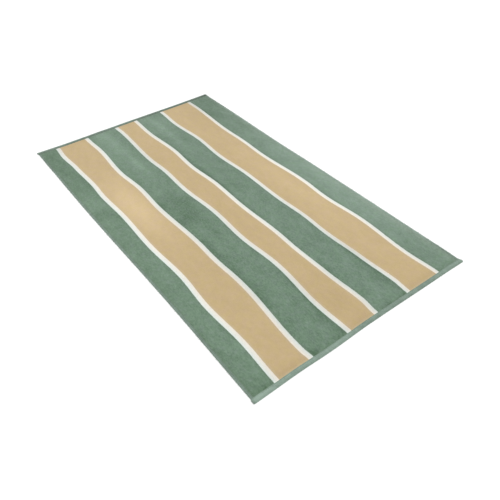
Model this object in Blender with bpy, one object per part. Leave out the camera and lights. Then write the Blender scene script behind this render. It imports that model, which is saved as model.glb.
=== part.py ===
"""A beach towel of pile cloth, laid out flat.

It is one cloth: a pile field, a narrow turned hem along each side and a wider flat-woven hem
across each end, whose folded tips stand a little past the sides. The towel lies on z = 0 with its
long side along Y, its near end at -Y and its middle over the origin. All sizes are in metres.

Below, `across` is a distance from the left side and `along` a distance from the near end, both
measured on the cloth as cut and sewn, before it is laid down.
"""

from math import cos, exp, hypot, pi, radians, sin

import bmesh
import bpy

# The towel's flat size, over the folded edges of its hems.
WIDTH = 1.000
LENGTH = 1.800

# Thickness of the pile field, and of the end hems and side hems, which have no pile.
PILE = 0.0045
END_HEM = 0.0030
SIDE_HEM = 0.0026

END_HEM_WIDTH = {"near": 0.018, "far": 0.021}
SIDE_HEM_WIDTH = 0.0095

# The rounded tips of the end hems: distance in from the end, and how far the tip stands past the
# side there. TIP_REACH is how far in from the side that stretch dies away.
TIPS = {
    ("near", "left"): ((0.0, 0.0012), (0.0022, 0.0027), (0.014, 0.0029), (0.018, 0.0006)),
    ("near", "right"): ((0.0, 0.0026), (0.0022, 0.0040), (0.012, 0.0042), (0.018, 0.0006)),
    ("far", "left"): ((0.0, 0.0010), (0.0022, 0.0024), (0.012, 0.0026), (0.021, 0.0008)),
    ("far", "right"): ((0.0, -0.0036), (0.0022, -0.0020), (0.006, 0.0002), (0.021, 0.0002)),
}
TIP_REACH = 0.060

# Sections from an edge inwards: distance in, height of the face, height of the underside.
SIDE_SECTION = (
    (0.0000, 0.65 * SIDE_HEM, 0.35 * SIDE_HEM),  # folded edge
    (0.0007, 0.92 * SIDE_HEM, 0.08 * SIDE_HEM),
    (0.0020, SIDE_HEM, 0.0),
    (SIDE_HEM_WIDTH - 0.0015, SIDE_HEM, 0.0),
    (SIDE_HEM_WIDTH, 0.80 * SIDE_HEM, 0.0),  # seam
    (SIDE_HEM_WIDTH + 0.0020, 0.75 * PILE, 0.0),  # the pile begins
    (SIDE_HEM_WIDTH + 0.0055, 0.93 * PILE, 0.0),
    (SIDE_HEM_WIDTH + 0.0125, PILE, 0.0),
)
END_SECTION = {
    end: (
        (0.0000, 0.65 * END_HEM, 0.35 * END_HEM),  # folded edge
        (0.0008, 0.92 * END_HEM, 0.08 * END_HEM),
        (0.0022, END_HEM, 0.0),
        (0.0060, END_HEM, 0.0),
        (0.0120, END_HEM, 0.0),
        (width - 0.0030, END_HEM, 0.0),
        (width - 0.0015, 0.83 * END_HEM, 0.0),  # seam
        (width, 0.97 * END_HEM, 0.0),  # inner edge
        (width + 0.0014, 0.75 * PILE, 0.0),  # the pile begins
        (width + 0.0050, 0.93 * PILE, 0.0),
        (width + 0.0120, PILE, 0.0),
    )
    for end, width in END_HEM_WIDTH.items()
}
FOLD_WIDTH = 0.0020  # how far in a folded edge is round

# Lines of points over the pile field, between the sections of the two edges.
FIELD_COLUMNS = 17
FIELD_ROWS = 32

# How the cloth's edges wander as it lies: distance along the edge, and how far the edge is drawn
# in there. These turning points are joined by soft bends.
LEFT_SIDE = ((0.00, 0.0002), (0.46, 0.0034), (1.24, -0.0030), (1.66, -0.0003), (1.80, 0.0016))
RIGHT_SIDE = (
    (0.00, 0.0036),
    (0.12, 0.0020),
    (0.64, -0.0006),
    (0.86, -0.0012),
    (1.08, 0.0007),
    (1.58, -0.0052),
    (1.80, -0.0055),
)
NEAR_END = (
    (0.00, -0.0036),
    (0.19, -0.0004),
    (0.31, -0.0018),
    (0.51, 0.0023),
    (0.90, -0.0004),
    (1.00, -0.0022),
)
FAR_END = (
    (0.00, -0.0052),
    (0.15, 0.0001),
    (0.30, 0.0006),
    (0.46, -0.0001),
    (0.84, 0.0041),
    (1.00, 0.0026),
)

# Low swells where the cloth doesn't lie quite down: the place of the middle across and along, the
# half-length, the half-width, the turn of the long way from +Y in degrees, and the height.
SWELLS = (
    (0.340, 1.560, 0.300, 0.060, 4, 0.0026),
    (0.300, 1.010, 0.200, 0.080, -12, 0.0018),
    (0.350, 0.360, 0.260, 0.060, -6, 0.0016),
    (0.600, 1.120, 0.330, 0.070, 5, 0.0022),
    (0.900, 0.780, 0.420, 0.060, -3, 0.0020),
    (0.860, 1.500, 0.160, 0.080, 20, 0.0016),
    (0.110, 1.300, 0.260, 0.050, 0, 0.0018),
)
LAID_DOWN = 0.0005  # how much of a swell's height the cloth's own weight takes away

SAGE_GREEN = (0.19, 0.27, 0.21, 1.0)
ROUGHNESS = 0.95
SHARP_ANGLE = radians(50)


def clamp(value, low=0.0, high=1.0):
    return max(low, min(high, value))


def on_soft_bends(turning_points, place):
    """The value at a place, on half-waves from one turning point to the next."""
    for (start, value), (end, next_value) in zip(turning_points, turning_points[1:]):
        if place <= end:
            share = (1 - cos(pi * (place - start) / (end - start))) / 2
            return value + (next_value - value) * share
    return turning_points[-1][1]


def on_straights(points, place):
    """The value at a place, on straight lines from one point to the next."""
    for (start, value), (end, next_value) in zip(points, points[1:]):
        if place <= end:
            return value + (next_value - value) * (place - start) / (end - start)
    return points[-1][1]


def on_section(section, inwards):
    """Heights of the face and the underside at a distance in from an edge."""
    for (start, face, under), (end, next_face, next_under) in zip(section, section[1:]):
        if inwards <= end:
            share = (inwards - start) / (end - start)
            return face + (next_face - face) * share, under + (next_under - under) * share
    return section[-1][1:]


def lines_of_points(low_section, high_section, span, inner):
    """Distances from one edge: those of the sections at both edges and `inner` even ones between."""
    low = [row[0] for row in low_section]
    high = [span - row[0] for row in reversed(high_section)]
    step = (high[0] - low[-1]) / (inner + 1)
    return low + [low[-1] + step * (k + 1) for k in range(inner)] + high


def nearer_end(along):
    """The end that a line of points is nearer to, and the distance in from it."""
    return ("near", along) if along < LENGTH / 2 else ("far", LENGTH - along)


def in_end_hem(along):
    """Whether a line of points belongs to an end hem, which its inner edge still does."""
    end, in_from_end = nearer_end(along)
    return in_from_end < END_HEM_WIDTH[end] + 0.0001


def heights(across, along):
    """Heights of the face and the underside at a point, before the swells."""
    in_from_side = min(across, WIDTH - across)
    side_face, side_under = on_section(SIDE_SECTION, in_from_side)
    end, in_from_end = nearer_end(along)
    end_face, end_under = on_section(END_SECTION[end], in_from_end)
    if in_end_hem(along):
        # The end hem runs over the side hem to its tip, which closes as the side's fold does.
        at_tip = in_from_side < FOLD_WIDTH
        side_face = side_face * END_HEM / SIDE_HEM if at_tip else END_HEM
    return min(side_face, end_face), max(side_under, end_under)


def swell(across, along):
    """How far the cloth is off the surface, which is nothing over most of it."""
    lift = 0.0
    for middle_x, middle_y, half_length, half_width, turn, height in SWELLS:
        dx, dy = across - middle_x, along - middle_y
        c, s = cos(radians(turn)), sin(radians(turn))
        reach = hypot((dy * c - dx * s) / half_length, (dx * c + dy * s) / half_width)
        lift += height * exp(-(reach**2))
    return max(0.0, lift - LAID_DOWN)


def laid(across, along):
    """Where a point lies, as x and y: the edges wander, and the end hems' tips stand out."""
    to_right = clamp((across - TIP_REACH) / (WIDTH - 2 * TIP_REACH))
    to_far = clamp((along - TIP_REACH) / (LENGTH - 2 * TIP_REACH))
    x = across + on_soft_bends(LEFT_SIDE, along) * (1 - to_right)
    x -= on_soft_bends(RIGHT_SIDE, along) * to_right
    y = along + on_soft_bends(NEAR_END, across) * (1 - to_far)
    y -= on_soft_bends(FAR_END, across) * to_far
    if in_end_hem(along):
        end, in_from_end = nearer_end(along)
        x -= on_straights(TIPS[end, "left"], in_from_end) * clamp(1 - across / TIP_REACH)
        x += on_straights(TIPS[end, "right"], in_from_end) * clamp(1 - (WIDTH - across) / TIP_REACH)
    return x - WIDTH / 2, y - LENGTH / 2


def cloth_material():
    material = bpy.data.materials.new("sage_cloth")
    material.use_nodes = True
    shader = material.node_tree.nodes["Principled BSDF"]
    shader.inputs["Base Color"].default_value = SAGE_GREEN
    shader.inputs["Roughness"].default_value = ROUGHNESS
    shader.inputs["Metallic"].default_value = 0.0
    return material


def towel(collection):
    """The cloth: a grid extruded into a face and an underside, then laid down point by point."""
    columns = lines_of_points(SIDE_SECTION, SIDE_SECTION, WIDTH, FIELD_COLUMNS)
    rows = lines_of_points(END_SECTION["near"], END_SECTION["far"], LENGTH, FIELD_ROWS)
    last_column, last_row = len(columns) - 1, len(rows) - 1

    shape = bmesh.new()
    bmesh.ops.create_grid(shape, x_segments=last_column, y_segments=last_row, size=0.5)
    extruded = bmesh.ops.extrude_face_region(shape, geom=shape.faces[:])
    face_points = {item for item in extruded["geom"] if isinstance(item, bmesh.types.BMVert)}
    for point in shape.verts:
        across = columns[round((point.co.x + 0.5) * last_column)]
        along = rows[round((point.co.y + 0.5) * last_row)]
        face, under = heights(across, along)
        height = face if point in face_points else under
        point.co = (*laid(across, along), height + swell(across, along))
    bmesh.ops.recalc_face_normals(shape, faces=shape.faces)

    mesh = bpy.data.meshes.new("towel")
    shape.to_mesh(mesh)
    shape.free()
    mesh.shade_smooth()
    mesh.set_sharp_from_angle(angle=SHARP_ANGLE)
    mesh.materials.append(cloth_material())
    collection.objects.link(bpy.data.objects.new("towel", mesh))


def main():
    for old in list(bpy.data.objects):
        bpy.data.objects.remove(old, do_unlink=True)
    collection = bpy.data.collections.new("beach_towel")
    bpy.context.scene.collection.children.link(collection)
    towel(collection)


main()
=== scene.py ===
"""The look of a beach towel laid out flat: its pile, its stripes, its folded hems and their seams.

All sizes are in metres. `across` is a distance from the left side of the towel's plain rectangle
and `along` a distance from its near end, so the row frame's x is across - WIDTH / 2 and its y is
along - LENGTH / 2. The edges' wander, the sections and the swells are those of the CAD model.
"""

from math import cos, pi, radians, sin

import bpy
import numpy as np
from mathutils import Matrix, Vector, noise


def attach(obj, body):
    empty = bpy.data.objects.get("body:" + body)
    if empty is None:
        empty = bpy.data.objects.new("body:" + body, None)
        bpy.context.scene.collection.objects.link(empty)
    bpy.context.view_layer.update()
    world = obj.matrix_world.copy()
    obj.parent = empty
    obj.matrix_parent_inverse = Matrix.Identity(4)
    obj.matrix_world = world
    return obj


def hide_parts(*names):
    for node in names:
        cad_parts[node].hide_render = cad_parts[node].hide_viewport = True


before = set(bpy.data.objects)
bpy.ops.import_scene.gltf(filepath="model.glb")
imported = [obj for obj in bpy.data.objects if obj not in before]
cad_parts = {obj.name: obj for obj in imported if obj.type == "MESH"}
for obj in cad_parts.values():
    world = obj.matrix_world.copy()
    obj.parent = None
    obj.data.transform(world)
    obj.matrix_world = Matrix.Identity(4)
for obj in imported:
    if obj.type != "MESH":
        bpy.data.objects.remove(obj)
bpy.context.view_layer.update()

# ---- the towel's sizes

WIDTH = 1.000
LENGTH = 1.800
PILE = 0.0045
END_HEM = 0.0030
SIDE_HEM = 0.0026
END_HEM_WIDTH = {"near": 0.018, "far": 0.021}
SIDE_HEM_WIDTH = 0.0095

# The rounded tips of the end hems: distance in from the end, and how far the tip stands past the
# side there. TIP_REACH is how far in from the side that dies away.
TIPS = {
    ("near", "left"): ((0.0, 0.0002), (0.0022, 0.0014), (0.014, 0.0014), (0.018, 0.0002)),
    ("near", "right"): ((0.0, 0.0016), (0.0022, 0.0030), (0.012, 0.0032), (0.018, 0.0004)),
    ("far", "left"): ((0.0, 0.0010), (0.0022, 0.0024), (0.012, 0.0026), (0.021, 0.0008)),
    ("far", "right"): ((0.0, -0.0036), (0.0022, -0.0020), (0.006, 0.0002), (0.021, 0.0002)),
}
TIP_REACH = 0.060

# How the edges wander: distance along the edge, and how far the edge is drawn in there.
LEFT_SIDE = ((0.00, 0.0002), (0.46, 0.0034), (1.24, -0.0030), (1.66, -0.0003), (1.80, 0.0016))
RIGHT_SIDE = (
    (0.00, 0.0036),
    (0.12, 0.0020),
    (0.64, -0.0006),
    (0.86, -0.0012),
    (1.08, 0.0007),
    (1.58, -0.0052),
    (1.80, -0.0055),
)
NEAR_END = (
    (0.00, -0.0036),
    (0.19, -0.0004),
    (0.31, -0.0018),
    (0.51, 0.0023),
    (0.90, -0.0004),
    (1.00, -0.0022),
)
FAR_END = (
    (0.00, -0.0052),
    (0.15, 0.0001),
    (0.30, 0.0006),
    (0.46, -0.0001),
    (0.84, 0.0041),
    (1.00, 0.0026),
)

# How much wider the near end hem is turned towards its two tips.
NEAR_SPREAD = ((0.00, 0.0018), (0.13, 0.0), (0.86, 0.0), (1.00, 0.0014))
SPREAD_REACH = (0.024, 0.080)  # how far in from the near end the cloth beside it moves with it

# Low swells: middle across and along, half-length, half-width, turn from +Y in degrees, height.
SWELLS = (
    (0.340, 1.560, 0.300, 0.060, 4, 0.0026),
    (0.300, 1.010, 0.200, 0.080, -12, 0.0018),
    (0.350, 0.360, 0.260, 0.060, -6, 0.0016),
    (0.600, 1.120, 0.330, 0.070, 5, 0.0022),
    (0.900, 0.780, 0.420, 0.060, -3, 0.0020),
    (0.860, 1.500, 0.160, 0.080, 20, 0.0016),
    (0.110, 1.300, 0.260, 0.050, 0, 0.0018),
)
LAID_DOWN = 0.0005

# ---- the stripes

# The white lines from left to right: width, and their middle's turning points, along and across.
LINES = (
    (
        0.0200,
        ((0.02, 0.104), (0.21, 0.111), (0.41, 0.1035), (0.60, 0.1135), (0.835, 0.1035),
         (1.06, 0.1085), (1.255, 0.1015), (1.36, 0.106), (1.55, 0.101), (1.68, 0.094),
         (1.78, 0.100)),
    ),
    (
        0.0196,
        ((0.02, 0.247), (0.06, 0.2435), (0.445, 0.269), (0.60, 0.2635), (0.72, 0.2665),
         (1.02, 0.2545), (1.195, 0.261), (1.385, 0.2485), (1.615, 0.2605), (1.75, 0.2555)),
    ),
    (
        0.0190,
        ((0.02, 0.420), (0.155, 0.4165), (0.43, 0.436), (0.64, 0.424), (0.84, 0.432),
         (1.08, 0.418), (1.25, 0.4235), (1.39, 0.416), (1.71, 0.429), (1.78, 0.427)),
    ),
    (
        0.0186,
        ((0.02, 0.5508), (0.10, 0.5583), (0.27, 0.5518), (0.44, 0.5498), (0.58, 0.5538),
         (0.80, 0.5473), (1.01, 0.5523), (1.205, 0.5408), (1.385, 0.5493), (1.62, 0.5358),
         (1.78, 0.5408)),
    ),
    (
        0.0175,
        ((0.02, 0.7165), (0.09, 0.722), (0.25, 0.716), (0.45, 0.709), (0.58, 0.714), (0.77, 0.707),
         (0.98, 0.7105), (1.205, 0.699), (1.395, 0.708), (1.615, 0.694), (1.77, 0.7005)),
    ),
    (
        0.0170,
        ((0.02, 0.8750), (0.16, 0.8690), (0.42, 0.8815), (0.63, 0.8700), (0.79, 0.8775),
         (1.08, 0.8655), (1.24, 0.8700), (1.40, 0.8665), (1.70, 0.8800), (1.77, 0.8785)),
    ),
)
LINE_SHIFT = -0.0016  # the lines were placed at the hems' height, and the pile stands over that
BANDS = ("green", "white", "tan", "white", "green", "white", "tan", "white", "green", "white",
         "tan", "white", "green")

# ---- meshes

COLUMN_STEP = 0.0078
ROW_STEP = 0.0070
BORDER_STATIONS = (0.0012, 0.0032)  # columns beside each colour change, where the pile parts
SIDE_STATIONS = (0.0060, 0.0095, 0.0115, 0.0150, 0.0220)
END_STATIONS = (-0.0060, -0.0015, 0.0, 0.0014, 0.0050, 0.0120)  # in from the hem's inner edge
PARTING_DEPTH, BESIDE_PARTING = 0.0009, 0.0004  # at a colour change, and at the column beside it

# The pile cloth's own section under and beside a hem: distance in, from the side or from the end
# hem's inner edge, then face and underside.
CLOTH_SIDE = (
    (SIDE_STATIONS[0], 0.0016, 0.0011),
    (SIDE_STATIONS[1], 0.0019, 0.0008),
    (SIDE_STATIONS[2], 0.75 * PILE, 0.0002),
    (SIDE_STATIONS[3], 0.93 * PILE, 0.0),
    (SIDE_STATIONS[4], PILE, 0.0),
)
CLOTH_END = (
    (END_STATIONS[0], 0.0018, 0.0012),
    (END_STATIONS[1], 0.0019, 0.0010),
    (END_STATIONS[2], 0.0023, 0.0006),
    (END_STATIONS[3], 0.75 * PILE, 0.0002),
    (END_STATIONS[4], 0.93 * PILE, 0.0),
    (END_STATIONS[5], PILE, 0.0),
)

# Unevenness of the pile: size of the lumps and their height.
LUMPS = ((0.030, 0.00030), (0.014, 0.00022))
BORDER_REACH = 0.030  # how far from a colour change or a hem that distance is kept


def on_soft_bends(turning_points, places):
    """Values at places, on half-waves from one turning point to the next."""
    starts, values = np.array(turning_points).T
    places = np.clip(places, starts[0], starts[-1])
    k = np.clip(np.searchsorted(starts, places) - 1, 0, len(starts) - 2)
    share = (1 - np.cos(pi * (places - starts[k]) / (starts[k + 1] - starts[k]))) / 2
    return values[k] + (values[k + 1] - values[k]) * share


def on_section(section, inwards):
    """Heights of the face and the underside at distances in from an edge."""
    distance, face, under = np.array(section).T
    return np.interp(inwards, distance, face), np.interp(inwards, distance, under)


def soft_patch(x, y, middle_x, middle_y, half_length, half_width, turn):
    """1 at a long patch's middle, fading to nothing around it."""
    dx, dy = x - middle_x, y - middle_y
    c, s = cos(radians(turn)), sin(radians(turn))
    reach = ((dy * c - dx * s) / half_length) ** 2 + ((dx * c + dy * s) / half_width) ** 2
    return np.exp(-reach)


def swell(x, y):
    """How far the cloth is off the surface, at places across and along."""
    lift = sum(height * soft_patch(x, y, *patch) for *patch, height in SWELLS)
    return np.maximum(0.0, lift - LAID_DOWN)


def left_edge(y):
    return on_soft_bends(LEFT_SIDE, y)


def right_edge(y):
    return WIDTH - on_soft_bends(RIGHT_SIDE, y)


def side_edge(side, y):
    return left_edge(y) if side == "left" else right_edge(y)


def near_edge(x):
    return on_soft_bends(NEAR_END, x)


def far_edge(x):
    return LENGTH - on_soft_bends(FAR_END, x)


def near_spread(x):
    return on_soft_bends(NEAR_SPREAD, x)


def in_from_end_hem(y):
    """How far in from the nearer end hem's inner edge places along the towel are."""
    return np.minimum(y - END_HEM_WIDTH["near"], LENGTH - END_HEM_WIDTH["far"] - y)


def lumps(x, y, sizes, seed):
    """Smooth noise at places, as a sum of lumps of each size and height."""
    heights = np.zeros(x.size)
    for place, (px, py) in enumerate(zip(x.ravel(), y.ravel())):
        for k, (size, height) in enumerate(sizes):
            at = (px / size, py / size, seed + 7.3 * k)
            heights[place] += height * noise.noise(at)
    return heights.reshape(x.shape)


def grid_faces(rows, columns, first=0, flip=False):
    """Quads of a grid of points, row by row."""
    at = first + np.arange(rows * columns).reshape(rows, columns)
    quads = np.stack([at[:-1, :-1], at[:-1, 1:], at[1:, 1:], at[1:, :-1]], axis=-1).reshape(-1, 4)
    return quads[:, ::-1] if flip else quads


def rim_faces(rows, columns):
    """Quads that join the edges of a grid of points to those of a second one below it."""
    at = np.arange(rows * columns).reshape(rows, columns)
    ring = np.concatenate([at[0, :-1], at[:-1, -1], at[-1, :0:-1], at[:0:-1, 0]])
    after = np.roll(ring, -1)
    below = rows * columns
    return np.stack([ring, ring + below, after + below, after], axis=-1)


def mesh_object(name, points, faces, materials, slots=None):
    """A smooth mesh object in the row frame, from points across, along and up."""
    mesh = bpy.data.meshes.new(name)
    placed = np.asarray(points, float) - (WIDTH / 2, LENGTH / 2, 0.0)
    mesh.from_pydata(placed.tolist(), [], [tuple(face) for face in faces])
    for material in materials:
        mesh.materials.append(material)
    if slots is not None:
        mesh.polygons.foreach_set("material_index", np.asarray(slots, np.int32))
    mesh.shade_smooth()
    mesh.update()
    made = bpy.data.objects.new(name, mesh)
    bpy.context.scene.collection.objects.link(made)
    return made


def set_on_points(made, name, values):
    """Keeps a number at each point of a mesh, for its material to read."""
    added = made.data.attributes.new(name, "FLOAT", "POINT")
    added.data.foreach_set("value", np.asarray(values, np.float32))


# ---- materials


def new_material(name, shine, roughness=1.0, sheen=0.0):
    """A Principled material with its constants set, and its node tree and shader."""
    material = bpy.data.materials.new(name)
    material.use_nodes = True
    shader = material.node_tree.nodes["Principled BSDF"]
    shader.inputs["Roughness"].default_value = roughness
    shader.inputs["Specular IOR Level"].default_value = shine
    shader.inputs["Sheen Weight"].default_value = sheen
    return material, material.node_tree, shader


def node(tree, kind, settings=None, **inputs):
    """Adds a node. Each input is a value or a socket to link, under the input's name, with _ for a
    space, or under i and its number."""
    made = tree.nodes.new(kind)
    for key, value in (settings or {}).items():
        setattr(made, key, value)
    for key, value in inputs.items():
        by_number = key[0] == "i" and key[1:].isdigit()
        socket = made.inputs[int(key[1:]) if by_number else key.replace("_", " ")]
        if isinstance(value, bpy.types.NodeSocket):
            tree.links.new(value, socket)
        else:
            socket.default_value = value
    return made


def math_node(tree, operation, first, second):
    return node(tree, "ShaderNodeMath", {"operation": operation}, i0=first, i1=second).outputs[0]


def object_places(tree, stretch=(1, 1, 1)):
    """Places on the towel in metres, stretched by a factor along each axis."""
    places = node(tree, "ShaderNodeTexCoord").outputs["Object"]
    return node(tree, "ShaderNodeMapping", Vector=places, Scale=stretch).outputs[0]


def noise_at(tree, places, size, detail=2.0, roughness=0.5):
    made = node(
        tree, "ShaderNodeTexNoise", Vector=places, Scale=1 / size, Detail=detail,
        Roughness=roughness,
    )
    return made.outputs[0]


def swing(tree, value, spread):
    """A noise value as a swing about nothing, of this much either way at most."""
    made = node(
        tree, "ShaderNodeMapRange", Value=value, From_Min=0.25, From_Max=0.75,
        To_Min=-spread, To_Max=spread,
    )
    return made.outputs[0]


def total(tree, added, *others):
    for value in others:
        added = math_node(tree, "ADD", added, value)
    return added


def attribute(tree, name):
    return node(tree, "ShaderNodeAttribute", {"attribute_name": name}).outputs["Fac"]


def mix(tree, share, first, second, blend="MIX"):
    """A colour between two, each of them a socket or three numbers."""
    first, second = (
        colour if isinstance(colour, bpy.types.NodeSocket) else (*colour, 1)
        for colour in (first, second)
    )
    settings = {"data_type": "RGBA", "blend_type": blend}
    return node(tree, "ShaderNodeMix", settings, i0=share, i6=first, i7=second).outputs[2]


def smooth_step(tree, value, low, high, from_value, to_value):
    """Goes smoothly from one value to another while the given one goes from low to high."""
    made = node(
        tree, "ShaderNodeMapRange", {"interpolation_type": "SMOOTHSTEP"}, Value=value,
        From_Min=low, From_Max=high, To_Min=from_value, To_Max=to_value,
    )
    return made.outputs[0]


def between(tree, share, deep, bright):
    """A colour between two, at 0.5 plus a share that the painted light and shade and the mottle
    make up.
    """
    return mix(tree, math_node(tree, "ADD", share, 0.5), deep, bright)


def mingled(tree, places, shades):
    """The shades of a yarn, and those of the yarn next to it where its ends stand among them."""
    ragged = noise_at(tree, places, MINGLED_SIZE, detail=3.0, roughness=0.7)
    into_white = math_node(
        tree, "ADD", attribute(tree, "into_white"), swing(tree, ragged, MINGLED_RAGGED)
    )
    whiteness = smooth_step(tree, into_white, -MINGLED, MINGLED, 0.0, 1.0)
    if shades is WHITE:
        beside_tan = attribute(tree, "beside_tan")
        coloured = [mix(tree, beside_tan, green, tan) for green, tan in zip(GREEN, TAN)]
    else:
        coloured = shades
    return [mix(tree, whiteness, colour, white) for colour, white in zip(coloured, WHITE)]


def parted(tree, places):
    """How far the pile leans apart, which sets where it is painted in shade and shows white: 1
    beside a colour change or a hem, and nothing further in.
    """
    ragged = swing(tree, noise_at(tree, places, PARTED_SIZE), PARTED_RAGGED)
    distance = math_node(tree, "ADD", attribute(tree, "from_border"), ragged)
    return smooth_step(tree, distance, *PARTED, 1.0, 0.0)


def tufts_at(tree, places, size):
    """The ends of the pile standing close together, as a height for the bump, and as painted light
    on their tops and painted shade in the gaps.
    """
    ends = noise_at(tree, places, size * TUFT_ENDS, detail=4.0, roughness=0.75)
    cells = node(
        tree, "ShaderNodeTexVoronoi", {"feature": "SMOOTH_F1"}, Vector=places, Scale=1 / size,
        Smoothness=1.0,
    ).outputs["Distance"]
    of_tuft, of_ends = TUFT_SHARES
    standing = math_node(tree, "MULTIPLY", math_node(tree, "SUBTRACT", TUFT_GAP, cells), of_tuft)
    return math_node(tree, "ADD", standing, swing(tree, ends, of_ends))


def tinted(tree, colour, places, tints):
    """A colour that drifts between two tints of itself, this far by chance."""
    first, second, spread = tints
    drift = swing(tree, noise_at(tree, places, TINT_SIZE, detail=1.0, roughness=0.6), spread)
    # the green's painted sheen, cooler towards the right, and the white lines' tint
    drift = total(tree, drift, attribute(tree, "cast"), 0.5)
    return mix(tree, 1.0, colour, mix(tree, drift, first, second), blend="MULTIPLY")


def pile_material(name, shades, marks, tints, border, loops=False):
    """Cut or looped pile: painted deep where it turns from the light, and bright where it catches
    it.

    marks is how far its long, middle and small marks and its tufts swing between the two shades.
    border is how much painted shade the pile gets where it parts beside another colour or a hem,
    and how much white shows there.
    """
    material, tree, shader = new_material(name, shine=0.1, sheen=PILE_SHEEN)
    places = object_places(tree)
    tufts = tufts_at(tree, places, LOOP if loops else TUFT)
    *marks, tuft = marks
    painted_shade, whitening = border
    parting_mask = parted(tree, places)
    swings = [
        swing(tree, noise_at(tree, object_places(tree, (1, stretch, 1)), size, *grain), mark)
        for (size, stretch, *grain), mark in zip(MARKS, marks)
    ]
    share = total(
        tree,
        *swings,
        # painted light on the tufts' tops and painted shade in their gaps
        math_node(tree, "MULTIPLY", tufts, tuft),
        # painted light and shade across the pile
        attribute(tree, "painted_light_and_shade"),
        # painted shade where the pile parts beside a colour change or a hem
        math_node(tree, "MULTIPLY", parting_mask, -painted_shade),
    )
    yarn = tinted(tree, between(tree, share, *mingled(tree, places, shades)), places, tints)
    # White that shows where the pile parts, and painted sheen.
    pale = math_node(
        tree, "ADD", math_node(tree, "MULTIPLY", parting_mask, whitening), attribute(tree, "painted_sheen")
    )
    tree.links.new(mix(tree, pale, yarn, WHITE[1]), shader.inputs["Base Color"])
    bump = node(tree, "ShaderNodeBump", Strength=0.5, Distance=0.0005, Height=tufts)
    tree.links.new(bump.outputs[0], shader.inputs["Normal"])
    return material


def threads_at(tree, axis, pitch):
    """Threads side by side along one axis: 1 on top of each and 0 between two."""
    made = node(
        tree, "ShaderNodeTexWave", {"bands_direction": axis, "wave_profile": "SIN"},
        Vector=object_places(tree), Scale=2 * pi / (20 * pitch), Distortion=0.6, Detail=1.0,
        Detail_Scale=0.6,
    )
    return made.outputs["Fac"]


def hem_material(name, shades, rib_axis):
    """Flat-woven cloth: ribs that cross the hem, over finer threads that run along it."""
    material, tree, shader = new_material(name, shine=0.2, roughness=0.9, sheen=0.1)
    other_axis = "Y" if rib_axis == "X" else "X"
    ribs = threads_at(tree, rib_axis, RIB_PITCH)
    threads = threads_at(tree, other_axis, THREAD_PITCH)
    shares = ((ribs, OF_RIBS), (threads, 1 - OF_RIBS))
    woven = total(tree, *(math_node(tree, "MULTIPLY", value, share) for value, share in shares))
    uneven = noise_at(tree, object_places(tree), HEM_UNEVEN[0])
    along_ribs = (1, SLUB_STRETCH, 1) if rib_axis == "X" else (SLUB_STRETCH, 1, 1)
    slubs = noise_at(tree, object_places(tree, along_ribs), SLUBS[0])
    share = total(
        tree,
        math_node(tree, "MULTIPLY", math_node(tree, "SUBTRACT", woven, 0.5), WEAVE_SWING),
        swing(tree, slubs, SLUBS[1]),
        swing(tree, uneven, HEM_UNEVEN[1]),
        # the hem's painted light and shade
        attribute(tree, "painted_light_and_shade"),
    )
    tree.links.new(between(tree, share, *shades), shader.inputs["Base Color"])
    bump = node(tree, "ShaderNodeBump", Strength=0.7, Distance=0.0003, Height=woven)
    tree.links.new(bump.outputs[0], shader.inputs["Normal"])
    return material


def fibre_material(name, shades):
    """Loose fibres, some paler than others."""
    material, tree, shader = new_material(name, shine=0.1, sheen=PILE_SHEEN)
    share = swing(tree, noise_at(tree, object_places(tree), FIBRE_GRAIN, detail=1.0), 0.5)
    tree.links.new(between(tree, share, *shades), shader.inputs["Base Color"])
    return material


def thread_material():
    """Twisted sewing thread: fine strands."""
    material, tree, shader = new_material("sewing_thread", shine=0.3, roughness=0.7, sheen=0.1)
    share = swing(tree, noise_at(tree, object_places(tree), STRAND, detail=1.0), 0.4)
    tree.links.new(between(tree, share, *THREAD_GREEN), shader.inputs["Base Color"])
    return material


PILE_SHEEN = 0.15
TINT_SIZE = 0.022
# The nap's long, middle and small marks: size, stretch along the towel, detail and roughness.
MARKS = ((0.045, 0.45, 1.0, 0.9), (0.014, 0.7, 2.0, 0.8), (0.0065, 0.6, 1.0, 0.7))
TUFT, LOOP = 0.0011, 0.0022  # sizes of the cut pile's tufts and of the underside's loops
TUFT_GAP = 0.45  # how far from a tuft's middle the pile has its middle shade, in tufts
TUFT_ENDS = 1.25  # size of the unevenness of a tuft's ends, in tufts
TUFT_SHARES = (0.7, 0.9)  # how much the tufts themselves and the unevenness of their ends count
# The pile leans apart fully up to the first distance from a border, and not past the second.
PARTED = (0.003, 0.0105)
PARTED_RAGGED, PARTED_SIZE = 0.0030, 0.008  # how far that border wanders, and the wander's size
# Where two colours mingle: half the softness of their border, how far it wanders and its grain.
MINGLED, MINGLED_RAGGED, MINGLED_SIZE = 0.0009, 0.0013, 0.0022

RIB_PITCH, THREAD_PITCH = 0.0010, 0.0006  # of a hem's weave
OF_RIBS = 0.7  # how much of the weave is ribs, and the rest is the threads over them
WEAVE_SWING = 0.35  # how far the weave swings a hem's tone
SLUBS, SLUB_STRETCH = (0.0022, 0.07), 0.2  # size and swing of thick places in its yarn
HEM_UNEVEN = (0.018, 0.10)  # size and swing of its lighter and darker places
FIBRE_GRAIN = 0.004  # size of the paler and darker places among loose fibres
STRAND = 0.0006  # of the sewing thread

# Yarn colours, linear: the deepest and the brightest shade of each, mixed by the mottle and by
# painted light and shade.
GREEN = ((0.053, 0.100, 0.057), (0.211, 0.295, 0.227))
TAN = ((0.232, 0.165, 0.063), (0.664, 0.516, 0.304))
WHITE = ((0.444, 0.441, 0.386), (0.791, 0.784, 0.705))
HEM_GREEN = ((0.065, 0.095, 0.070), (0.320, 0.425, 0.355))
THREAD_GREEN = ((0.060, 0.090, 0.068), (0.110, 0.150, 0.120))
FIBRE_GREEN = (GREEN[0], HEM_GREEN[1])
FRAYED_GREEN = ((0.28, 0.33, 0.30), (0.55, 0.60, 0.57))
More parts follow.
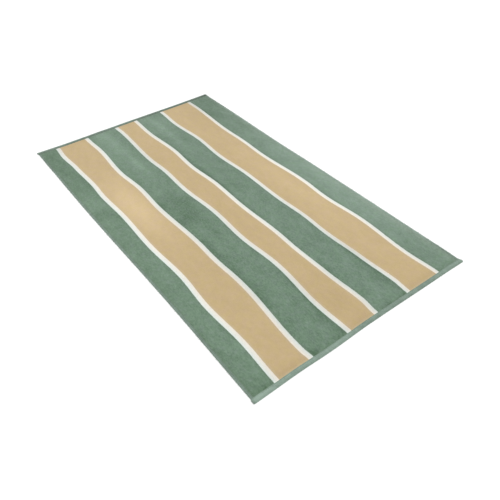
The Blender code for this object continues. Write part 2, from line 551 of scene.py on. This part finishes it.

# Painted light and shade: where the pile is painted lighter or darker, as its sheen and its low
# undulations catch or lose the light, by the band counted from the left: the middle across and
# along, the half-width, the half-length, and how far towards the bright or the deep shade.
PAINTED_SHADING_PATCHES = {
    0: (
        (0.05, 0.9, 0.2, 1.5, 0.025), (0.05, 1.74, 0.06, 0.06, -0.07),
        (0.05, 1.6, 0.04, 0.2, -0.18), (0.092, 1.4, 0.015, 0.06, -0.14),
        (0.025, 1.37, 0.03, 0.025, -0.07), (0.021, 0.22, 0.01, 0.19, -0.09),
        (0.045, 0.0235, 0.07, 0.005, -0.15), (0.085, 0.47, 0.022, 0.11, 0.06),
        (0.05, 1.21, 0.045, 0.04, 0.1), (0.05, 1.11, 0.05, 0.04, -0.08),
        (0.092, 0.73, 0.012, 0.025, 0.12), (0.088, 0.2, 0.02, 0.035, 0.16),
        (0.07, 0.33, 0.018, 0.07, 0.08), (0.098, 0.28, 0.01, 0.06, -0.08),
    ),
    1: ((0.105, 0.85, 0.05, 0.8, 0.22), (0.1, 1.76, 0.03, 0.06, -0.13)),
    2: ((0.175, 1.095, 0.07, 0.25, 0.24),),
    3: ((0.255, 1.35, 0.05, 0.45, 0.11), (0.262, 0.4, 0.03, 0.14, -0.09)),
    4: (
        (0.33, 1.65, 0.08, 0.25, 0.13), (0.39, 1.58, 0.022, 0.12, -0.1),
        (0.3, 1.115, 0.05, 0.025, 0.09), (0.408, 0.57, 0.014, 0.05, -0.1),
        (0.335, 0.0225, 0.2, 0.005, -0.04), (0.335, 1.7, 0.025, 0.18, 0.16),
        (0.345, 1.37, 0.018, 0.12, 0.26), (0.275, 1.25, 0.02, 0.03, -0.12),
        (0.27, 1.02, 0.02, 0.05, -0.14), (0.345, 0.98, 0.045, 0.09, -0.18),
        (0.32, 0.88, 0.06, 0.045, -0.2), (0.28, 0.55, 0.022, 0.4, -0.15),
        (0.28, 0.35, 0.025, 0.18, -0.05), (0.262, 0.03, 0.018, 0.022, -0.22),
        (0.412, 0.035, 0.014, 0.03, -0.16), (0.355, 0.75, 0.012, 0.1, -0.1),
        (0.412, 0.22, 0.014, 0.14, -0.28), (0.38, 0.14, 0.03, 0.06, -0.14),
    ),
    5: (
        (0.43, 1.0, 0.05, 0.35, 0.04), (0.43, 0.24, 0.03, 0.1, -0.15),
        (0.43, 1.45, 0.03, 0.18, -0.1),
    ),
    6: ((0.49, 0.15, 0.06, 0.14, -0.06),),
    7: (
        (0.55, 0.9, 0.05, 0.6, 0.13), (0.553, 0.23, 0.03, 0.08, -0.13),
        (0.55, 0.08, 0.03, 0.06, -0.1),
    ),
    8: (
        (0.58, 1.68, 0.04, 0.12, 0.15), (0.65, 1.43, 0.05, 0.07, -0.06),
        (0.702, 0.31, 0.012, 0.06, -0.08), (0.63, 0.02, 0.2, 0.0045, -0.13),
        (0.615, 1.55, 0.02, 0.25, 0.18), (0.66, 1.68, 0.03, 0.08, 0.08),
        (0.555, 1.06, 0.014, 0.33, -0.31), (0.59, 0.8, 0.015, 0.18, 0.08),
        (0.62, 0.95, 0.025, 0.05, -0.08), (0.706, 0.2, 0.014, 0.18, -0.22),
        (0.56, 0.26, 0.02, 0.07, -0.12), (0.68, 0.12, 0.025, 0.04, -0.1),
        (0.635, 0.12, 0.025, 0.07, 0.12),
    ),
    9: (
        (0.712, 0.95, 0.05, 0.2, 0.1), (0.715, 0.32, 0.03, 0.12, -0.2),
        (0.715, 1.46, 0.04, 0.1, -0.02),
    ),
    10: ((0.815, 0.76, 0.06, 0.42, 0.1), (0.84, 1.6, 0.05, 0.2, -0.06)),
    11: (
        (0.875, 0.75, 0.04, 0.55, 0.24), (0.88, 1.7, 0.04, 0.1, -0.26),
        (0.88, 1.77, 0.04, 0.04, -0.1),
    ),
    12: (
        (0.955, 0.78, 0.05, 0.48, 0.29), (1.0, 0.64, 0.03, 0.4, 0.16),
        (0.9, 0.62, 0.018, 0.42, 0.12), (0.955, 1.4, 0.022, 0.12, -0.07),
        (0.983, 1.7, 0.016, 0.07, -0.14), (0.945, 0.045, 0.1, 0.018, 0.07),
        (0.945, 0.0215, 0.1, 0.0045, -0.03), (0.94, 0.38, 0.06, 0.2, 0.1),
        (0.93, 1.5, 0.07, 0.14, -0.08), (0.905, 1.6, 0.04, 0.07, -0.16),
        (0.94, 1.73, 0.08, 0.09, -0.16),
    ),
}
# Painted light and shade along each hem, where it is lighter or darker: the place along it, the
# half-length and how far.
HEM_LIGHT_AND_SHADE = {
    "near": (
        (0.02, 0.070, 0.18), (-0.002, 0.010, -0.25), (0.14, 0.050, 0.05), (0.34, 0.090, 0.06),
        (0.66, 0.130, -0.07), (0.49, 0.050, -0.06), (0.80, 0.060, -0.05), (0.96, 0.040, -0.04),
    ),
    "far": ((0.06, 0.120, 0.14), (0.42, 0.200, 0.12), (1.00, 0.060, -0.08), (1.00, 0.012, -0.20)),
    "left": ((0.32, 0.080, -0.06), (1.68, 0.090, -0.11), (0.98, 0.150, 0.04)),
    "right": (
        (1.74, 0.150, -0.22), (0.07, 0.080, -0.24), (0.50, 0.120, 0.13), (0.90, 0.200, 0.05),
    ),
}
# Painted sheen: where fibre ends catch the light and the pile is painted pale, by band and with
# columns as in the pile's table of painted light and shade: how much white shows.
PAINTED_SHEEN_PATCHES = {12: ((0.99, 0.3, 0.024, 0.35, 0.06), (0.99, 1.1, 0.024, 0.6, 0.03))}
GREEN_BANDS = (0, 4, 8, 12)
COOL_CAST = 0.45  # how far the green drifts from its warm tint at the left side to its cool one, a painted sheen
WHITE_CAST = 0.5  # how far a white line drifts to its cool tint beside green, and warm beside tan
HEM_SHADE = 0.025  # how far in from the end hems the pile is painted in shade
# How much painted shade the pile gets beside the near and the far end hem.
HEM_PAINTED_SHADE = {"near": 0.10, "far": 0.04}

# Each pile's shades, its long, middle and small marks and its tufts, its two tints and how far it
# drifts between them, and its painted shade and its whitening where it parts.
PILE_LOOKS = {
    "green": (
        GREEN,
        (0.09, 0.09, 0.13, 0.26),
        ((0.97, 1.0, 0.955), (1.035, 1.0, 1.05), 1.0),
        (0.12, 0.02),
    ),
    "white": (
        WHITE,
        (0.04, 0.05, 0.05, 0.22),
        ((0.90, 1.0, 1.07), (1.09, 1.0, 0.97), 0.1),
        (0.0, 0.0),
    ),
    "tan": (
        TAN,
        (0.03, 0.03, 0.015, 0.13),
        ((1.0, 1.0, 0.96), (1.0, 0.985, 1.045), 1.0),
        (0.08, 0.09),
    ),
}


def patches_on(x, y, bands, patches):
    """The patches of a table added up at places of a row of bands."""
    added = np.zeros(x.shape)
    for band, rows in patches.items():
        for middle_x, middle_y, half_width, half_length, strength in rows:
            reach = ((x - middle_x) / half_width) ** 2 + ((y - middle_y) / half_length) ** 2
            added += np.where(bands == band, strength * np.exp(-reach), 0.0)
    return added


def painted_shading_at(x, y, bands):
    """The painted light and shade at places of a row of bands, with painted shade beside the end
    hems.
    """
    # Painted shade on the pile beside the end hems.
    painted_shade = np.where(y < LENGTH / 2, HEM_PAINTED_SHADE["near"], HEM_PAINTED_SHADE["far"])
    beside_hem = np.exp(-((in_from_end_hem(y) / HEM_SHADE) ** 2))
    return patches_on(x, y, bands, PAINTED_SHADING_PATCHES) - painted_shade * beside_hem


# ---- the pile cloth


def across_band(low, high, low_offsets, high_offsets):
    """Columns across one band: at set distances from its two edges, and even ones between."""
    inner_low, inner_high = low + low_offsets[-1], high - high_offsets[-1]
    count = max(1, round(float(np.mean(inner_high - inner_low)) / COLUMN_STEP) - 1)
    shares = np.arange(1, count + 1) / (count + 1)
    inner = [inner_low + (inner_high - inner_low) * share for share in shares]
    return [low + d for d in low_offsets] + inner + [high - d for d in reversed(high_offsets)]


def line_edges(y):
    """Where the white lines begin and end, from left to right."""
    edges = []
    for width, turning_points in LINES:
        middle = on_soft_bends(turning_points, y) + LINE_SHIFT
        edges += [middle - width / 2, middle + width / 2]
    return edges


def cloth_columns(y):
    """Columns of points for rows at y: places across, how far the pile parts, and the band."""
    edges = [left_edge(y), *line_edges(y), right_edge(y)]
    columns, parting, bands = [], [], []
    for k in range(len(BANDS)):
        at_left, at_right = k == 0, k == len(BANDS) - 1
        stations = [SIDE_STATIONS if side else BORDER_STATIONS for side in (at_left, at_right)]
        inner = across_band(edges[k], edges[k + 1], *stations)
        depths = np.zeros(len(inner))
        if not at_left:
            columns.append(edges[k])
            parting.append(1.0)
            bands.append(k)
            depths[0] = BESIDE_PARTING / PARTING_DEPTH
        if not at_right:
            depths[-1] = BESIDE_PARTING / PARTING_DEPTH
        columns += inner
        parting += list(depths)
        bands += [k] * len(inner)
    return np.array(columns).T, np.array(parting), np.array(bands)


def cast(x, rows, bands):
    """How far the yarn's tint drifts: green's across the towel, cooler to the right as painted
    sheen, and white's across its line.
    """
    drift = np.where(np.isin(bands, GREEN_BANDS), COOL_CAST * (2 * x / WIDTH - 1), 0.0)
    for k, (width, turning_points) in enumerate(LINES):
        middle = on_soft_bends(turning_points, rows)[:, None] + LINE_SHIFT
        towards_tan = (x - middle) / (width / 2) * (1 if k % 2 == 0 else -1)
        drift = np.where(bands == 2 * k + 1, WHITE_CAST * towards_tan, drift)
    return drift


def keep_tones(cloth, x, y, rows, bands, in_from_side, in_from_end):
    """Keeps at the cloth's points what its materials read: its painted light, shade and sheen, on
    the face alone.
    """
    # Painted light and shade, painted sheen and the tint drift, kept on the face alone.
    face_only = {
        "painted_light_and_shade": painted_shading_at(x, y, bands[None, :]),
        "cast": cast(x, rows, bands),
        "painted_sheen": patches_on(x, y, bands[None, :], PAINTED_SHEEN_PATCHES),
    }
    for name, values in face_only.items():
        set_on_points(cloth, name, np.concatenate([values.ravel(), np.zeros(x.size)]))

    from_edges = np.array([abs(x - edge[:, None]) for edge in line_edges(rows)])
    from_line = from_edges.min(axis=0)
    from_hem = np.minimum(in_from_side - SIDE_HEM_WIDTH, in_from_end)
    in_white = np.array([band == "white" for band in BANDS])[bands]
    beside_tan = np.array([BANDS[k + k % 2] == "tan" for k in range(len(from_edges))])
    both_faces = {
        "from_border": np.clip(np.minimum(from_hem, from_line), 0, BORDER_REACH),
        "into_white": np.minimum(from_line, BORDER_REACH) * np.where(in_white, 1, -1),
        "beside_tan": beside_tan[from_edges.argmin(axis=0)],
    }
    for name, values in both_faces.items():
        set_on_points(cloth, name, np.tile(values.ravel(), 2))


def pile_cloth():
    """The cloth with its pile on both faces, as one closed body."""
    near_rows = END_HEM_WIDTH["near"] + np.array(END_STATIONS)
    far_rows = LENGTH - END_HEM_WIDTH["far"] - np.array(END_STATIONS[::-1])
    inner = np.arange(near_rows[-1] + ROW_STEP, far_rows[0] - ROW_STEP / 2, ROW_STEP)
    rows = np.concatenate([near_rows, inner, far_rows])
    x, parting, bands = cloth_columns(rows)
    along = np.repeat(rows[:, None], x.shape[1], axis=1)
    to_far = np.clip((along - TIP_REACH) / (LENGTH - 2 * TIP_REACH), 0, 1)
    y = along + near_edge(x) * (1 - to_far) - (LENGTH - far_edge(x)) * to_far
    y += near_spread(x) * np.interp(along, SPREAD_REACH, (1, 0))

    in_from_side = np.minimum(x - left_edge(along), right_edge(along) - x)
    in_from_end = in_from_end_hem(along)
    side_face, side_under = on_section(CLOTH_SIDE, in_from_side)
    end_face, end_under = on_section(CLOTH_END, in_from_end)
    face, under = np.minimum(side_face, end_face), np.maximum(side_under, end_under)

    pile_here = np.clip((face - 0.5 * PILE) / (0.5 * PILE), 0, 1)
    lift = swell(x, y)
    face = face + lift + pile_here * lumps(x, y, LUMPS, seed=1.0)
    face -= PARTING_DEPTH * parting[None, :] * pile_here
    under = under + lift + pile_here * np.abs(lumps(x, y, LUMPS, seed=21.0))

    points = np.concatenate([np.stack([x, y, z], axis=-1).reshape(-1, 3) for z in (face, under)])
    rim = rim_faces(*x.shape)
    faces = [grid_faces(*x.shape), grid_faces(*x.shape, first=x.size, flip=True), rim]
    names = list(PILE_LOOKS)
    materials = [
        pile_material(f"{name}_{kind}", *PILE_LOOKS[name], loops=kind == "loops")
        for kind in ("pile", "loops")
        for name in names
    ]
    face_slots = np.tile([names.index(BANDS[k]) for k in bands[:-1]], len(rows) - 1)
    slots = np.concatenate([face_slots, face_slots + len(names), np.full(len(rim), len(names))])
    made = mesh_object("towel_cloth", points, np.concatenate(faces), materials, slots)
    keep_tones(made, x, y, rows, bands, in_from_side, in_from_end)
    return made


# ---- the hems

LAYER = 0.0009  # thickness of the flat-woven cloth, folded three deep
SEAM_IN = 0.0018  # how far the seam is from the hem's inner edge
GROOVE = 0.0007  # how far to each side of the seam its groove reaches
GROOVE_DEPTHS = (0.00045, 0.0002)  # at the seam, and to each side of it
UNDER_GROOVE_DEPTHS = (0.0003, 0.0002)
INTO_PILE = (0.0016, 0.0006)  # how far past its inner edge a hem dips into the pile, and how deep
DIP_FROM = 0.0004  # how far in front of its inner edge that dip begins
FLAT_BESIDE, UNDER_FLAT_BESIDE = 0.0025, 0.0016  # how far from the seam a hem is flat again
FLAT_STEP, UNDER_FLAT_STEP = 0.004, 0.005  # between its points there, at most
TURNED_IN = 0.0014  # how far short of the inner edge the cloth turns back into the hem
TUCK_STOP = 0.0006  # how far short of the fold its edge lies
LAYER_MIDDLE = 0.55  # how far into a hem the middles of its outer layers are, in layers
RIB = 0.012  # how much thicker an end hem is at a rib, as a share
END_RIB_STEP = 0.0010
SIDE_STEP = 0.0030
SIDE_HEM_FROM = 0.008  # how far in from the ends a side hem begins, under the end hems
# How an end hem closes at its tips: distance in from the tip, and how full the hem is there.
TIP_CLOSING = ((0.0, 0.86), (0.0004, 0.96), (0.0012, 1.0))
OUT = {"left": -1.0, "right": 1.0}  # the way out from each side, along x
# Painted light and shade across each end hem, as its rolled faces turn to or away from the light:
# distance in, and how far towards the bright shade.
END_SHADE = {
    "near": (
        (0.0, -0.21), (0.003, -0.04), (0.009, 0.01), (0.013, 0.07), (0.016, 0.08), (0.018, 0.0),
    ),
    "far": ((0.0, -0.22), (0.006, -0.20), (0.011, -0.34), (0.015, -0.42), (0.021, -0.45)),
}
# Painted light and shade across each side hem, in the same way.
SIDE_SHADE = {
    "left": ((0.0, -0.21), (0.004, -0.07), (0.0095, -0.12)),
    "right": ((0.0, -0.02), (0.004, 0.11), (0.0095, 0.09)),
}
PUCKER = (0.0050, 0.00016)  # length and height of the puckers that a seam draws into its hem
PUCKER_FROM = 0.001  # how high up a hem's cloth is puckered


def arc(centre, radius, start, end, count):
    """Points of an arc without its two ends, from one angle to the other in degrees."""
    angles = [radians(start + (end - start) * k / (count + 1)) for k in range(1, count + 1)]
    return [(centre[0] + radius * cos(a), centre[1] + radius * sin(a)) for a in angles]


def fold_line(width, thickness):
    """The line of the cloth in a hem, as (inwards, up): over it, round, under it and back in."""
    low = LAYER * LAYER_MIDDLE
    high, middle = thickness - low, thickness / 2
    outer = (high - low) / 2
    turn = outer + LAYER / 2
    tuck = (middle - low) / 2
    seam_at, turned_in = width - SEAM_IN, width - TURNED_IN
    line = [
        (width + INTO_PILE[0], high - INTO_PILE[1]),
        (width - DIP_FROM, high),
        (seam_at + GROOVE, high - GROOVE_DEPTHS[1]),
        (seam_at, high - GROOVE_DEPTHS[0]),
        (seam_at - GROOVE, high - GROOVE_DEPTHS[1]),
    ]
    count, under_count = (max(3, round(width / step)) for step in (FLAT_STEP, UNDER_FLAT_STEP))
    line += [(v, high) for v in np.linspace(seam_at - FLAT_BESIDE, turn, count)]
    line += arc((turn, middle), outer, 90, 270, 5)
    line += [(v, low) for v in np.linspace(turn, seam_at - UNDER_FLAT_BESIDE, under_count)]
    line.append((seam_at - GROOVE, low + UNDER_GROOVE_DEPTHS[1]))
    line.append((seam_at, low + UNDER_GROOVE_DEPTHS[0]))
    line += arc((turned_in, low + tuck), tuck, -90, 90, 2)
    line += [(v, middle) for v in np.linspace(turned_in, turn + outer + TUCK_STOP, 3)]
    return np.array(line)


def thickened(line):
    """The closed outline of a layer of cloth that follows a line."""
    step = np.gradient(line, axis=0)
    step /= np.linalg.norm(step, axis=1, keepdims=True)
    side = np.stack([-step[:, 1], step[:, 0]], axis=1) * LAYER / 2
    return np.concatenate([line - side, (line + side)[::-1]])


def folded_band(name, outline, places, material, shade, patches, rib=0.0, tips=None):
    """A hem: its outline at each place along the edge, closed at both tips.

    places is a list of (origin, inwards, share): where the edge is, the direction in from it and
    how full the outline is there. inwards is a little over 1 long where the hem is turned wider.
    shade and patches give its painted light and shade by the distance in and along. tips gives how
    far each of the outline's points moves across.
    """
    middle, width = outline.mean(axis=0), outline[:, 0].max()
    puckered = np.clip(outline[:, 0] / width, 0, 1) * (outline[:, 1] > PUCKER_FROM)
    count = len(outline)
    points, tones = [], []
    for k, (origin, inwards, share) in enumerate(places):
        section = middle + (outline - middle) * (share + (rib if k % 2 else 0.0))
        flat = origin[None, :2] + section[:, :1] * inwards[None, :]
        along = origin[1] if abs(inwards[0]) > abs(inwards[1]) else origin[0]
        if tips is not None:
            flat[:, 0] += tips(section[:, 0], origin[0])
        pucker = PUCKER[1] * noise.noise((along / PUCKER[0], width * 1000, 3.0))
        lifted = section[:, 1] + pucker * puckered
        up = np.maximum(lifted, 0.0) + swell(flat[:, 0], flat[:, 1])
        points.append(np.column_stack([flat, up]))
        # Painted light and shade: across the hem, and in patches along it.
        patch = sum(far * np.exp(-(((along - at) / half) ** 2)) for at, half, far in patches)
        tones.append(np.interp(outline[:, 0], *zip(*shade)) + patch)
    quads = []
    last = (len(places) - 1) * count
    for first in range(0, last, count):
        for j in range(count):
            after = (j + 1) % count
            quads.append((first + j, first + after, first + count + after, first + count + j))
    caps = [tuple(range(count))[::-1], tuple(last + j for j in range(count))]
    band = mesh_object(name, np.concatenate(points), quads + caps, [material])
    # The hem's painted light and shade, for its material to read.
    set_on_points(band, "painted_light_and_shade", np.concatenate(tones))
    return band


def past_sides(end, low, high):
    """How far an end hem's points move across at its tips: by distance in and place across."""

    def shift(inwards, x):
        to_left, to_right = (
            np.interp(inwards, *zip(*TIPS[end, side])) * max(0.0, 1 - in_from_side / TIP_REACH)
            for side, in_from_side in (("left", x - low), ("right", high - x))
        )
        return to_right - to_left

    return shift


def end_hem(end, material):
    """The folded hem across one end, from tip to tip."""
    outline = thickened(fold_line(END_HEM_WIDTH[end], END_HEM))
    y_side = np.array([0.0 if end == "near" else LENGTH])
    low, high = left_edge(y_side)[0], right_edge(y_side)[0]
    *closing, full = [distance for distance, _ in TIP_CLOSING]
    ribs = np.arange(low + full, high - full, END_RIB_STEP)
    xs = np.concatenate([low + np.array(closing), ribs, high - np.array(closing[::-1])])
    shares = np.interp(np.minimum(xs - low, high - xs), *zip(*TIP_CLOSING))
    if end == "near":
        outline = outline[::-1]
        ys, inwards = near_edge(xs), 1.0 + near_spread(xs) / END_HEM_WIDTH[end]
    else:
        ys, inwards = far_edge(xs), np.full(xs.size, -1.0)
    places = [
        (np.array([x, y]), np.array([0.0, inward]), share)
        for x, y, inward, share in zip(xs, ys, inwards, shares)
    ]
    return folded_band(
        f"end_hem_{end}", outline, places, material, END_SHADE[end], HEM_LIGHT_AND_SHADE[end], rib=RIB,
        tips=past_sides(end, low, high),
    )


def side_hem(side, material):
    """The narrow folded hem along one side, tucked into the end hems."""
    outline = thickened(fold_line(SIDE_HEM_WIDTH, SIDE_HEM))
    ys = np.arange(SIDE_HEM_FROM, LENGTH - SIDE_HEM_FROM, SIDE_STEP)
    inwards = np.array([-OUT[side], 0.0])
    places = [(np.array([x, y]), inwards, 1.0) for x, y in zip(side_edge(side, ys), ys)]
    if side == "right":
        outline = outline[::-1]
    return folded_band(
        f"side_hem_{side}", outline, places, material, SIDE_SHADE[side], HEM_LIGHT_AND_SHADE[side]
    )


# ---- the seams

STITCH = 0.0028
STITCH_PITCH = 0.0034
THREAD = 0.00030  # radius
STITCH_RISE = 0.00035
SEAM_DEPTH = 0.0004  # how far the stitches on the face are let into the hem
UNDER_SEAM = 0.00068  # height of the seams on the underside, in a groove of their own
# How far in from the sides an end seam starts and stops, and from the end hems' a side seam.
END_SEAM_ENDS, SIDE_SEAM_ENDS = (0.004, 0.006), (0.002, 0.005)
RINGS = ((0.0, 0.5), (0.2, 1.0), (0.5, 1.05), (0.8, 1.0), (1.0, 0.5))  # along, thickness
SIDES = 5


def seam(name, starts, direction, heights, material):
    """A row of stitches on the face, and one on the underside, as one mesh."""
    points, faces = [], []
    forward = np.array([direction[0], direction[1], 0.0])
    across = np.array([-direction[1], direction[0], 0.0])
    upwards = np.array([0, 0, 1.0])
    for start, (top, bottom) in zip(starts, heights):
        for z, up in ((top, 1.0), (bottom, -1.0)):
            first = len(points)
            for share, fullness in RINGS:
                arch = 4 * share * (1 - share) * STITCH_RISE - 0.5 * THREAD
                middle = np.array([*start, z + up * arch]) + forward * share * STITCH
                for j in range(SIDES):
                    angle = 2 * pi * j / SIDES
                    out = across * cos(angle) + upwards * sin(angle)
                    points.append(middle + out * THREAD * fullness)
            for ring in range(len(RINGS) - 1):
                for j in range(SIDES):
                    a = first + ring * SIDES + j
                    b = first + ring * SIDES + (j + 1) % SIDES
                    faces.append((a, b, b + SIDES, a + SIDES))
            end = first + (len(RINGS) - 1) * SIDES
            faces.append(tuple(first + j for j in reversed(range(SIDES))))
            faces.append(tuple(end + j for j in range(SIDES)))
    return mesh_object(name, points, faces, [material])


def stitch_heights(thickness, xs, ys):
    """Heights of the stitches on the face and on the underside of a hem."""
    return [(thickness - SEAM_DEPTH + z, UNDER_SEAM + z) for z in swell(xs, ys)]


def end_seam(end, material):
    inwards = END_HEM_WIDTH[end] - SEAM_IN
    xs = np.arange(END_SEAM_ENDS[0], WIDTH - END_SEAM_ENDS[1], STITCH_PITCH)
    ys = near_edge(xs) + inwards + near_spread(xs) if end == "near" else far_edge(xs) - inwards
    heights = stitch_heights(END_HEM, xs, ys)
    return seam(f"seam_{end}", list(zip(xs, ys)), (1.0, 0.0), heights, material)


def side_seam(side, material):
    near, far = (END_HEM_WIDTH[end] + gap for end, gap in zip(("near", "far"), SIDE_SEAM_ENDS))
    ys = np.arange(near, LENGTH - far, STITCH_PITCH)
    xs = side_edge(side, ys) - OUT[side] * (SIDE_HEM_WIDTH - SEAM_IN)
    heights = stitch_heights(SIDE_HEM, xs, ys)
    return seam(f"seam_{side}", list(zip(xs, ys)), (0.0, 1.0), heights, material)


# ---- loose fibres

# The short and the long fibres: how many a side, their least and greatest length, and thickness.
FUZZ = ((3000, (0.0020, 0.0060), 0.00013), (1500, (0.0050, 0.0105), 0.00011))
FUZZ_FROM = (0.0004, 0.0030)  # how far in from the outline a fibre leaves the hem
FUZZ_ENDS = (0.012, 0.014)  # how far from the near and the far end a side's fibres stop
FUZZ_TURN, FUZZ_SLOPE = 0.6, (-0.12, 0.25)  # their spread sideways in radians, and their slopes
FRAYED_COUNT = 90  # a tip
FRAYED_LENGTH = (0.0030, 0.0065)
FRAYED_THICKNESS = 0.00020
FRAYED_FROM = (0.0008, 0.0030)  # how far a tip's fibres stop from the hem's two edges
FRAYED_ROOT = 0.0010  # how far inside the tip they begin
FRAYED_TURN, FRAYED_SLOPE = 0.35, (-0.10, 0.10)
ROOT_HEIGHTS = (0.0010, 0.0022)
BEND_AT, BEND_RISE, BEND_THICKNESS = 0.55, 0.18, 0.9  # shares of a fibre's length, and thickness
SEEDS = {"left": 5, "right": 6, "near": 7, "far": 8}


def fibres(name, roots, ends, thickness, material):
    """Fine bent fibres from roots to ends, as one mesh of closed three-sided spikes."""
    count = len(roots)
    thickness = np.broadcast_to(thickness, count)[:, None]
    forward = ends - roots
    beside = np.cross(forward, (0, 0, 1.0))
    beside /= np.linalg.norm(beside, axis=1, keepdims=True)
    above = np.cross(beside, forward)
    above /= np.linalg.norm(above, axis=1, keepdims=True)
    rise = BEND_RISE * np.linalg.norm(forward, axis=1, keepdims=True)
    bends = roots + BEND_AT * forward + rise * above
    points = np.empty((count, 7, 3))
    for j in range(3):
        angle = 2 * pi * j / 3
        round_it = (beside * cos(angle) + above * sin(angle)) * thickness / 2
        points[:, j] = roots + round_it
        points[:, 3 + j] = bends + round_it * BEND_THICKNESS
    points[:, 6] = ends
    points[:, :, 2] = np.maximum(points[:, :, 2], 0.0)
    faces = []
    for first in range(0, 7 * count, 7):
        faces.append((first, first + 1, first + 2))
        for j in range(3):
            after = (j + 1) % 3
            faces.append((first + j, first + 3 + j, first + 3 + after, first + after))
            faces.append((first + 3 + j, first + 6, first + 3 + after))
    return mesh_object(name, points.reshape(-1, 3), faces, [material])


def standing_out(random, x, y, out, spread, length, slope):
    """Roots and ends of fibres that stand out past a side, from places inside its hem."""
    z = random.uniform(*ROOT_HEIGHTS, y.size) + swell(x, y)
    turn = random.normal(0.0, spread, y.size)
    length = random.uniform(*length, y.size)
    roots = np.stack([x, y, z], axis=1)
    parting_mask = np.stack([out * np.cos(turn), np.sin(turn), random.uniform(*slope, y.size)], axis=1)
    return roots, roots + parting_mask * length[:, None]


def side_fuzz(side, material):
    """Loose pile fibres that stand out past one side hem."""
    random = np.random.default_rng(SEEDS[side])
    out = OUT[side]
    groups = []
    for count, length, thickness in FUZZ:
        y = random.uniform(FUZZ_ENDS[0], LENGTH - FUZZ_ENDS[1], count)
        x = side_edge(side, y) - out * random.uniform(*FUZZ_FROM, count)
        placed = standing_out(random, x, y, out, FUZZ_TURN, length, FUZZ_SLOPE)
        groups.append((*placed, np.full(count, thickness)))
    joined = [np.concatenate(part) for part in zip(*groups)]
    return fibres(f"fuzz_{side}", *joined, material)


def frayed_tips(end, material):
    """The loose ends of yarn at an end hem's two cut tips."""
    random = np.random.default_rng(SEEDS[end])
    groups = []
    for side, out in OUT.items():
        inwards = random.uniform(FRAYED_FROM[0], END_HEM_WIDTH[end] - FRAYED_FROM[1], FRAYED_COUNT)
        past = np.interp(inwards, *zip(*TIPS[end, side]))
        y = inwards if end == "near" else LENGTH - inwards
        x = side_edge(side, y) + out * (past - FRAYED_ROOT)
        y = y + near_edge(x) if end == "near" else y - (LENGTH - far_edge(x))
        groups.append(standing_out(random, x, y, out, FRAYED_TURN, FRAYED_LENGTH, FRAYED_SLOPE))
    joined = [np.concatenate(part) for part in zip(*groups)]
    return fibres(f"frayed_{end}", *joined, FRAYED_THICKNESS, material)


# ---- stage, light and camera

FLOOR_HALF = 30.0  # of its width
FLOOR_DROP = 0.0002  # how far the floor is under the towel's lowest points
FLOOR_WHITE = (0.88, 0.88, 0.88, 1)
SKY_STRENGTH = 0.9
KEY_FROM = (-0.45, -0.9, 0.85)
KEY_STRENGTH = 1.9
KEY_SOFTNESS = 50  # degrees across
CAMERA_AT = (-1.0156, -1.6367, 1.4472)
# In degrees: round the vertical, up from straight down, and round the line of sight.
AZIMUTH, TILT, ROLL = -35.36, 47.68, -2.22
LENS = 39.02


def studio():
    """A plain white floor, a soft light from above and a pale surround."""
    floor_mesh = bpy.data.meshes.new("floor")
    square = [(FLOOR_HALF * x, FLOOR_HALF * y, 0) for x, y in ((-1, -1), (1, -1), (1, 1), (-1, 1))]
    floor_mesh.from_pydata(square, [], [(0, 1, 2, 3)])
    floor = bpy.data.objects.new("floor", floor_mesh)
    floor.location.z = -FLOOR_DROP
    bpy.context.scene.collection.objects.link(floor)
    material, _, shader = new_material("floor_white", shine=0.0)
    shader.inputs["Base Color"].default_value = FLOOR_WHITE
    floor_mesh.materials.append(material)

    world = bpy.data.worlds.new("studio")
    world.use_nodes = True
    background = world.node_tree.nodes["Background"]
    background.inputs["Color"].default_value = (1, 1, 1, 1)
    background.inputs["Strength"].default_value = SKY_STRENGTH
    bpy.context.scene.world = world

    key = bpy.data.lights.new("key", "SUN")
    key.energy = KEY_STRENGTH
    key.angle = radians(KEY_SOFTNESS)
    lamp = bpy.data.objects.new("key", key)
    lamp.rotation_euler = Vector(KEY_FROM).to_track_quat("Z", "Y").to_euler()
    bpy.context.scene.collection.objects.link(lamp)
    bpy.context.scene.view_settings.view_transform = "Standard"


def camera():
    data = bpy.data.cameras.new("camera")
    data.lens = LENS
    data.sensor_width = 36
    data.clip_end = 150
    made = bpy.data.objects.new("camera", data)
    made.matrix_world = (
        Matrix.Translation(CAMERA_AT)
        @ Matrix.Rotation(radians(AZIMUTH), 4, "Z")
        @ Matrix.Rotation(radians(TILT), 4, "X")
        @ Matrix.Rotation(radians(ROLL), 4, "Z")
    )
    bpy.context.scene.collection.objects.link(made)
    bpy.context.scene.camera = made


# ---- making it

camera()
studio()
cloth = pile_cloth()
hem_across = hem_material("hem_weave_end", HEM_GREEN, "X")
hem_along = hem_material("hem_weave_side", HEM_GREEN, "Y")
thread = thread_material()
hems = [end_hem(end, hem_across) for end in ("near", "far")]
hems += [side_hem(side, hem_along) for side in ("left", "right")]
seams = [end_seam(end, thread) for end in ("near", "far")]
seams += [side_seam(side, thread) for side in ("left", "right")]
fibre = fibre_material("loose_fibre", FIBRE_GREEN)
frayed = fibre_material("frayed_yarn", FRAYED_GREEN)
fuzz = [side_fuzz(side, fibre) for side in ("left", "right")]
fuzz += [frayed_tips(end, frayed) for end in ("near", "far")]

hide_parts("towel")
for piece in [cloth, *hems, *seams, *fuzz]:
    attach(piece, "root")
